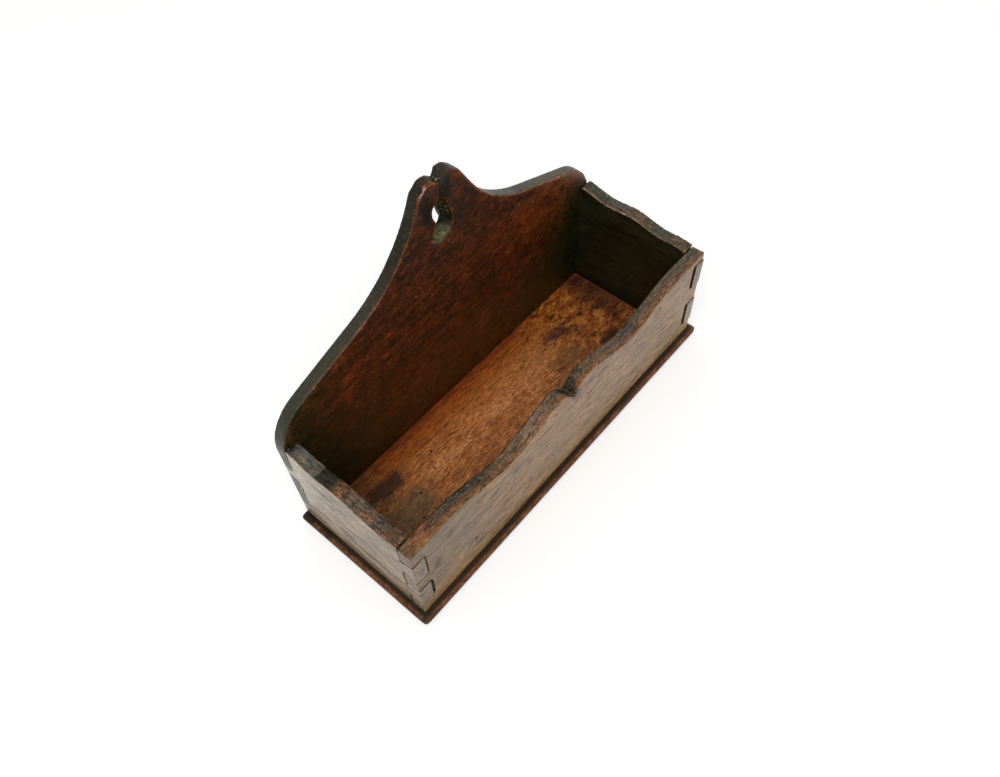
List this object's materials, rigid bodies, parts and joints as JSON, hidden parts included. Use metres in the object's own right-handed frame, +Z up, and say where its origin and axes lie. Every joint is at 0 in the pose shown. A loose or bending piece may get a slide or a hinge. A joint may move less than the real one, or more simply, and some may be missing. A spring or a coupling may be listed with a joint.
{
  "type": "wall tidy",
  "caption": "Open wooden wall tidy: a dovetailed box on a nailed base, with a waved front and a tall shaped back pierced for hanging.",
  "frame": {"origin": "middle of the underside, below the middle of the whole object's box", "axes": "+X to the right along the width, +Y to the back towards the wall, +Z up"},
  "size_m": [0.2472, 0.0936, 0.163],
  "materials": {
    "back_board": "waxed, dark red brown with age",
    "front_board": "waxed, worn grey brown",
    "side_boards": "waxed, worn grey brown",
    "base_board": "dry, orange tan with dark stains",
    "base_nails": "dull, lightly rusted"
  },
  "bodies": {
    "root": {"back_board": "back_board", "front_board": "front_board", "left_side": "side_boards", "right_side": "side_boards", "base_board": "base_board", "base_nails": "base_nails"}
  },
  "joints": []
}
